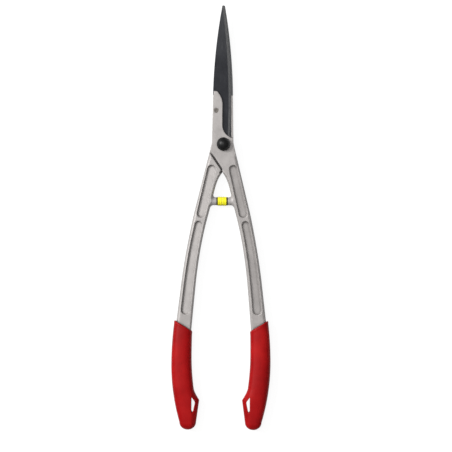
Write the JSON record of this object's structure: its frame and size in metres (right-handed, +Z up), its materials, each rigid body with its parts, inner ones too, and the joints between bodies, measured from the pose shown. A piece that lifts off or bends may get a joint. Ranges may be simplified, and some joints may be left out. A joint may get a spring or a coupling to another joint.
{
  "type": "long-handled hedge shears",
  "caption": "Long-handled hand shears with straight dark blades, ribbed cast arms, red sleeve grips and yellow bumpers between the arms.",
  "frame": {"origin": "under the middle of the closed shears, at the height of the lowest point (the flat head of the pivot bolt and the undersides of the grips)", "axes": "+Y along the shears towards the blade tips, +Z up out of the face that shows the pivot cap, +X to the side of the front half's arm"},
  "size_m": [0.153, 0.6544, 0.0313],
  "materials": {
    "cast_arm": "satin, fine blasted",
    "blade": "dark satin coating with a ground edge",
    "grip": "matt elastomer",
    "steel": "plain zinc",
    "bush": "plain",
    "insert": "plain",
    "cap": "gloss",
    "screw": "burnished dark",
    "bumper": "matt",
    "seat": "matt"
  },
  "bodies": {
    "rear_half": {"rear_handle": "cast_arm", "rear_blade": "blade", "rear_grip": "grip", "rear_blade_screw": "screw", "rear_bumper": "bumper", "rear_bumper_seat": "seat", "pivot_bolt": "steel", "blade_washer": "bush", "disc_spring": "steel", "nut_washer": "steel", "pivot_nut": "steel", "nut_insert": "insert", "pivot_cap": "cap"},
    "front_half": {"front_handle": "cast_arm", "front_blade": "blade", "front_grip": "grip", "front_blade_screw": "screw", "front_bumper": "bumper", "front_bumper_seat": "seat", "pivot_bush": "bush"}
  },
  "joints": [
    {"name": "pivot_hinge", "type": "hinge", "parent": "rear_half", "child": "front_half", "pos_m": [0.0012, 0.11325, 0.0125], "axis": [0, 0, 1], "range_deg": [0, 50]}
  ]
}
